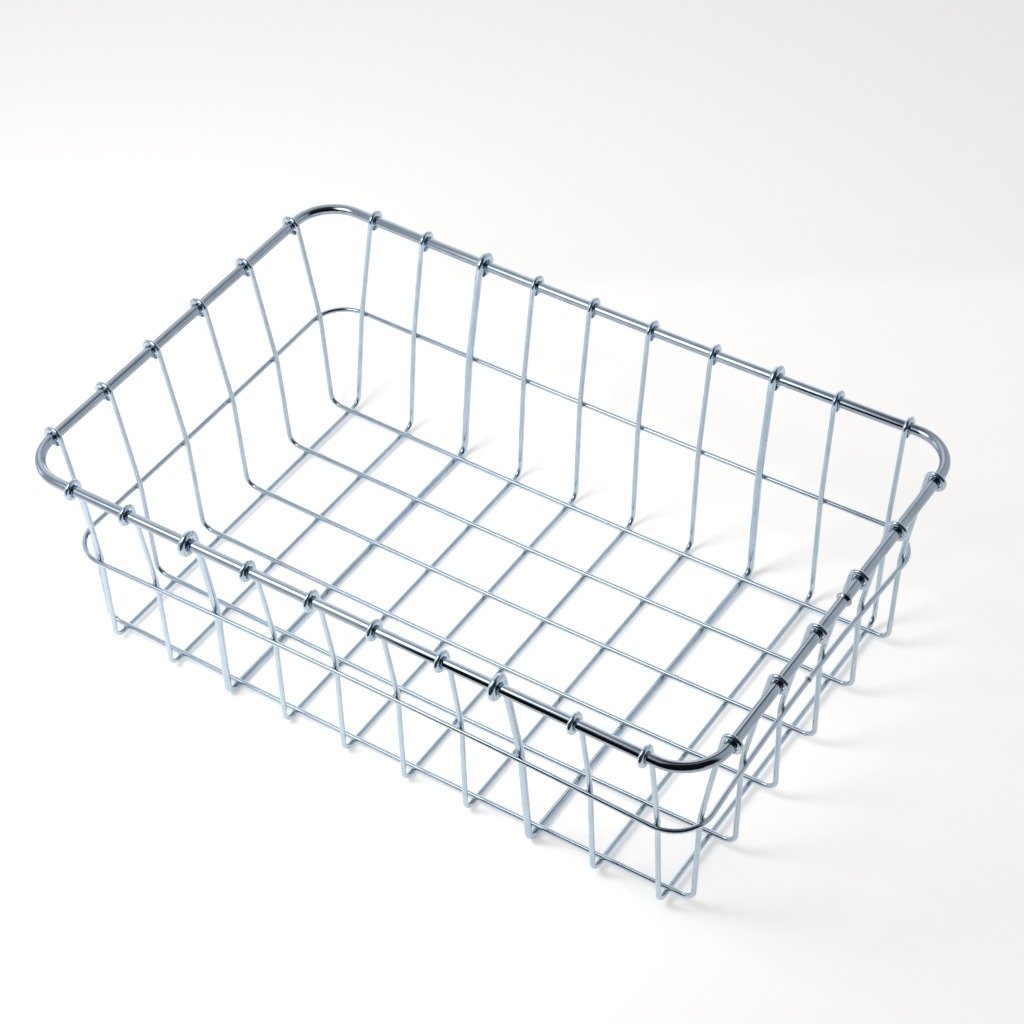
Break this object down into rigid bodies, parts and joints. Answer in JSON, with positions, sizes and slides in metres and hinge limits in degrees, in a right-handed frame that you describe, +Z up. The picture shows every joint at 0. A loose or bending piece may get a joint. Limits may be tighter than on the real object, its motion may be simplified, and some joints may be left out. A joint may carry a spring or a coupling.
{
  "type": "bicycle handlebar basket",
  "caption": "Open rectangular basket of welded zinc-plated steel wire: U-shaped grid wires hooked over a round-cornered rim rod, with a wire band round the walls at mid height.",
  "frame": {"origin": "on the ground under the middle of the basket, level with the undersides of the two heavy wires it stands on", "axes": "+X along the long side, from the left end to the right end seen from the front; +Y from the front wall to the back wall; +Z up, out of the open mouth"},
  "size_m": [0.3809, 0.2523, 0.1282],
  "materials": {
    "rim_zinc": "bright zinc plate on drawn steel rod, smooth and glossy, unpainted",
    "band_zinc": "bright zinc plate on drawn steel wire, slightly blue",
    "cross_wire_zinc": "bright zinc plate on drawn steel wire, slightly blue, satin gloss",
    "heavy_wire_zinc": "bright zinc plate on thicker drawn steel wire, satin gloss",
    "long_wire_zinc": "bright zinc plate on drawn steel wire, slightly blue, satin gloss"
  },
  "bodies": {
    "root": {"rim": "rim_zinc", "mid_band": "band_zinc", "cross_wire_1": "cross_wire_zinc", "cross_wire_2": "cross_wire_zinc", "heavy_cross_wire_3": "heavy_wire_zinc", "cross_wire_4": "cross_wire_zinc", "cross_wire_5": "cross_wire_zinc", "cross_wire_6": "cross_wire_zinc", "cross_wire_7": "cross_wire_zinc", "heavy_cross_wire_8": "heavy_wire_zinc", "cross_wire_9": "cross_wire_zinc", "cross_wire_10": "cross_wire_zinc", "long_wire_1": "long_wire_zinc", "long_wire_2": "long_wire_zinc", "long_wire_3": "long_wire_zinc", "long_wire_4": "long_wire_zinc", "long_wire_5": "long_wire_zinc", "long_wire_6": "long_wire_zinc"}
  },
  "joints": []
}
